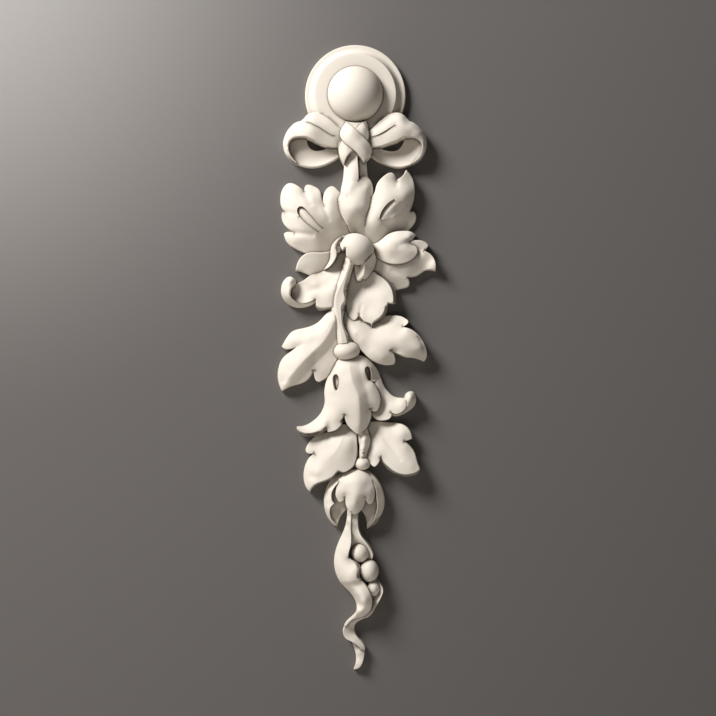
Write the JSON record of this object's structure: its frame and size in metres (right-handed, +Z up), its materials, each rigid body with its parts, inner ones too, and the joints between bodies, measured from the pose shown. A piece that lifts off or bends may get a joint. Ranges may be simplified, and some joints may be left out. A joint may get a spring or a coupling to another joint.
{
  "type": "ornamental drop moulding",
  "caption": "Tall cast wall ornament: a round rosette with a ribbon bow, from which leaves, buds, a bell flower and a curling pea pod hang.",
  "frame": {"origin": "on the flat back, behind the centre of the rosette", "axes": "+Z up along the ornament's length, +Y into the wall, +X to the right as seen from the front"},
  "size_m": [0.1265, 0.029, 0.498],
  "materials": {
    "cast_polyurethane": "matt warm white primer on moulded rigid foam"
  },
  "bodies": {
    "root": {"drop_ornament": "cast_polyurethane"}
  },
  "joints": []
}
